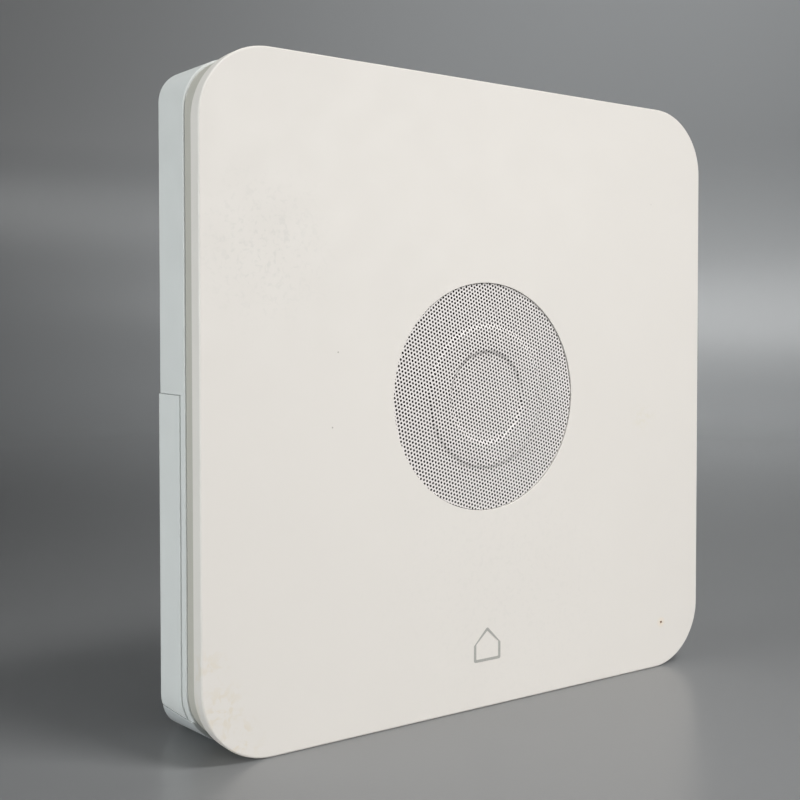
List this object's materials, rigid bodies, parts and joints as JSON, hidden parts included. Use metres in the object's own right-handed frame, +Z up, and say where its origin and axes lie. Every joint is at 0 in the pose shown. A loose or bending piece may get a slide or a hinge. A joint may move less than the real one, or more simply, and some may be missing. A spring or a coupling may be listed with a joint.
{
  "type": "alarm base station",
  "caption": "Flat square white alarm hub with a round perforated speaker grille, light ring, stepped rear housing, lift-off port cover, wall keyholes and rubber feet.",
  "frame": {"origin": "middle of the footprint: centre of the bounding box at the lower edge of the front panel, where the object stands", "axes": "+Z up as it stands, +X to the right seen from the front, front face towards -Y, rear feet towards +Y"},
  "size_m": [0.169, 0.036, 0.169],
  "materials": {
    "front_plastic": "fine matt moulded, warm white",
    "rear_plastic": "fine matt moulded, cool white",
    "frame_plastic": "matt moulded, off-white",
    "grille_metal": "white powder coat on perforated sheet",
    "mark_ink": "pad-printed grey ink",
    "clear_plastic": "clear to milky moulded light guide",
    "grey_rubber": "soft matt",
    "black_plastic": "glass-filled moulded",
    "circuit_board": "solder mask",
    "steel": "plain bright steel",
    "ferrite": "sintered, matt",
    "cone_paper": "pressed black paper",
    "copper_wire": "enamelled wire winding",
    "battery_wrap": "shrink sleeve",
    "black_foam": "open-cell foam and woven mesh",
    "red_lead": "insulated wire",
    "label_paper": "blank satin label",
    "white_nylon": "moulded connector"
  },
  "bodies": {
    "hub": {"front_panel": "front_plastic", "speaker_grille": "grille_metal", "printed_mark": "mark_ink", "dust_mesh": "black_foam", "light_guide_ring": "clear_plastic", "light_ring_board": "circuit_board", "status_light_pipe": "clear_plastic", "mid_frame": "frame_plastic", "rear_housing": "rear_plastic", "foot_upper_left": "grey_rubber", "foot_upper_right": "grey_rubber", "housing_screw_upper_left": "steel", "housing_screw_upper_right": "steel", "housing_screw_lower_left": "steel", "housing_screw_lower_right": "steel", "blank_label": "label_paper", "speaker_gasket": "black_foam", "speaker_basket": "black_plastic", "speaker_surround": "black_foam", "speaker_spider": "cone_paper", "speaker_top_plate": "steel", "speaker_magnet": "ferrite", "speaker_yoke": "steel", "speaker_screw_1": "steel", "speaker_screw_2": "steel", "speaker_screw_3": "steel", "speaker_screw_4": "steel", "main_board": "circuit_board", "ethernet_jack": "steel", "power_jack": "black_plastic", "processor_shield": "steel", "module_socket": "black_plastic", "cellular_module": "circuit_board", "sim_holder": "steel", "sim_card": "label_paper", "battery_connector": "white_nylon", "board_screw_1": "steel", "board_screw_2": "steel", "board_screw_3": "steel", "board_screw_4": "steel", "battery_pack": "battery_wrap", "battery_bracket": "steel", "battery_lead": "red_lead", "speaker_lead": "red_lead", "cellular_antenna_left": "circuit_board", "cellular_antenna_right": "circuit_board", "mesh_radio_antenna": "circuit_board", "wifi_antenna": "circuit_board", "button_board": "circuit_board", "setup_switch": "black_plastic", "reset_switch": "black_plastic"},
    "rear_cover": {"rear_cover": "rear_plastic", "foot_lower_left": "grey_rubber", "foot_lower_right": "grey_rubber"},
    "setup_button": {"setup_button": "rear_plastic", "setup_switch_plunger": "black_plastic"},
    "reset_button": {"reset_button": "black_plastic"},
    "speaker_cone": {"speaker_cone": "cone_paper", "speaker_dust_cap": "cone_paper", "speaker_voice_coil": "copper_wire"}
  },
  "joints": [
    {"name": "cover_pull", "type": "slide", "parent": "hub", "child": "rear_cover", "axis": [0, 1, 0], "range_m": [0, 0.03]},
    {"name": "setup_button_press", "type": "slide", "parent": "hub", "child": "setup_button", "axis": [0, -1, 0], "range_m": [0, 0.0005], "stiffness_N_per_m": 800},
    {"name": "reset_button_press", "type": "slide", "parent": "hub", "child": "reset_button", "axis": [0, -1, 0], "range_m": [0, 0.0003], "stiffness_N_per_m": 600},
    {"name": "speaker_cone_travel", "type": "slide", "parent": "hub", "child": "speaker_cone", "axis": [0, 1, 0], "range_m": [-0.0005, 0.0005], "stiffness_N_per_m": 1000}
  ]
}
